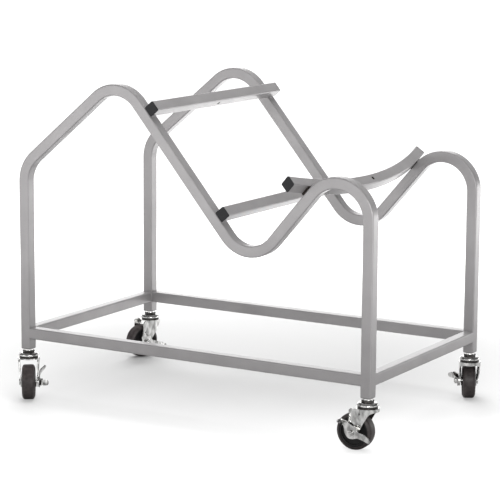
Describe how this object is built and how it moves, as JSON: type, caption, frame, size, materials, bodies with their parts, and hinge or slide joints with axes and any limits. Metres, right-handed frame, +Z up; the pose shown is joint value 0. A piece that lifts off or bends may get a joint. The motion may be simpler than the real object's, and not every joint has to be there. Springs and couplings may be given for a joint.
{
  "type": "chair trolley",
  "caption": "Wheeled square-tube trolley for a tilted stack of chairs: bent side frames with a peak and a valley on a rectangular base, joined by cross bars, on braked swivel casters.",
  "frame": {"origin": "on the floor, under the middle of the rectangle of the four legs", "axes": "+X along the trolley from the tall peak to the low arch, +Y across it from front to back, +Z up"},
  "size_m": [0.9365, 0.6292, 0.7324],
  "materials": {
    "frame_paint": "satin silver-grey powder coat",
    "cap_plastic": "black, fine texture",
    "zinc_plate": "bright zinc plating",
    "core_plastic": "black",
    "tyre_rubber": "dark grey rubber"
  },
  "bodies": {
    "frame": {"side_frame_front": "frame_paint", "side_frame_back": "frame_paint", "base_rail_front": "frame_paint", "base_rail_back": "frame_paint", "base_rail_left": "frame_paint", "base_rail_right": "frame_paint", "upper_bar": "frame_paint", "lower_bar": "frame_paint", "curved_bar": "frame_paint", "upper_bar_caps": "cap_plastic", "lower_bar_caps": "cap_plastic", "curved_bar_caps": "cap_plastic", "leg_plugs": "frame_paint", "caster_stems": "zinc_plate", "raceway_caps": "zinc_plate"},
    "front_left_caster": {"front_left_fork": "zinc_plate", "front_left_axle_bolt": "zinc_plate", "front_left_axle_nut": "zinc_plate"},
    "front_left_wheel": {"front_left_wheel_core": "core_plastic", "front_left_tyre": "tyre_rubber"},
    "front_left_brake": {"front_left_brake_lever": "zinc_plate"},
    "front_right_caster": {"front_right_fork": "zinc_plate", "front_right_axle_bolt": "zinc_plate", "front_right_axle_nut": "zinc_plate"},
    "front_right_wheel": {"front_right_wheel_core": "core_plastic", "front_right_tyre": "tyre_rubber"},
    "front_right_brake": {"front_right_brake_lever": "zinc_plate"},
    "back_left_caster": {"back_left_fork": "zinc_plate", "back_left_axle_bolt": "zinc_plate", "back_left_axle_nut": "zinc_plate"},
    "back_left_wheel": {"back_left_wheel_core": "core_plastic", "back_left_tyre": "tyre_rubber"},
    "back_left_brake": {"back_left_brake_lever": "zinc_plate"},
    "back_right_caster": {"back_right_fork": "zinc_plate", "back_right_axle_bolt": "zinc_plate", "back_right_axle_nut": "zinc_plate"},
    "back_right_wheel": {"back_right_wheel_core": "core_plastic", "back_right_tyre": "tyre_rubber"},
    "back_right_brake": {"back_right_brake_lever": "zinc_plate"}
  },
  "joints": [
    {"name": "front_left_swivel", "type": "hinge", "parent": "frame", "child": "front_left_caster", "pos_m": [-0.4375, -0.2525, 0.0925], "axis": [0, 0, 1], "continuous": true},
    {"name": "front_left_roll", "type": "hinge", "parent": "front_left_caster", "child": "front_left_wheel", "pos_m": [-0.42259, -0.2738, 0.04], "axis": [0.8192, 0.5736, 0], "continuous": true},
    {"name": "front_left_brake_press", "type": "hinge", "parent": "front_left_caster", "child": "front_left_brake", "pos_m": [-0.42259, -0.2738, 0.04], "axis": [0.8192, 0.5736, 0], "range_deg": [-46, 0]},
    {"name": "front_right_swivel", "type": "hinge", "parent": "frame", "child": "front_right_caster", "pos_m": [0.4375, -0.2525, 0.0925], "axis": [0, 0, 1], "continuous": true},
    {"name": "front_right_roll", "type": "hinge", "parent": "front_right_caster", "child": "front_right_wheel", "pos_m": [0.41154, -0.25386, 0.04], "axis": [0.0523, -0.9986, 0], "continuous": true},
    {"name": "front_right_brake_press", "type": "hinge", "parent": "front_right_caster", "child": "front_right_brake", "pos_m": [0.41154, -0.25386, 0.04], "axis": [0.0523, -0.9986, 0], "range_deg": [0, 46]},
    {"name": "back_left_swivel", "type": "hinge", "parent": "frame", "child": "back_left_caster", "pos_m": [-0.4375, 0.2525, 0.0925], "axis": [0, 0, 1], "continuous": true},
    {"name": "back_left_roll", "type": "hinge", "parent": "back_left_caster", "child": "back_left_wheel", "pos_m": [-0.44724, 0.22839, 0.04], "axis": [0.9272, -0.3746, 0], "continuous": true},
    {"name": "back_left_brake_press", "type": "hinge", "parent": "back_left_caster", "child": "back_left_brake", "pos_m": [-0.44724, 0.22839, 0.04], "axis": [0.9272, -0.3746, 0], "range_deg": [0, 46]},
    {"name": "back_right_swivel", "type": "hinge", "parent": "frame", "child": "back_right_caster", "pos_m": [0.4375, 0.2525, 0.0925], "axis": [0, 0, 1], "continuous": true},
    {"name": "back_right_roll", "type": "hinge", "parent": "back_right_caster", "child": "back_right_wheel", "pos_m": [0.4257, 0.27567, 0.04], "axis": [-0.891, -0.454, 0], "continuous": true},
    {"name": "back_right_brake_press", "type": "hinge", "parent": "back_right_caster", "child": "back_right_brake", "pos_m": [0.4257, 0.27567, 0.04], "axis": [-0.891, -0.454, 0], "range_deg": [-46, 0]}
  ]
}
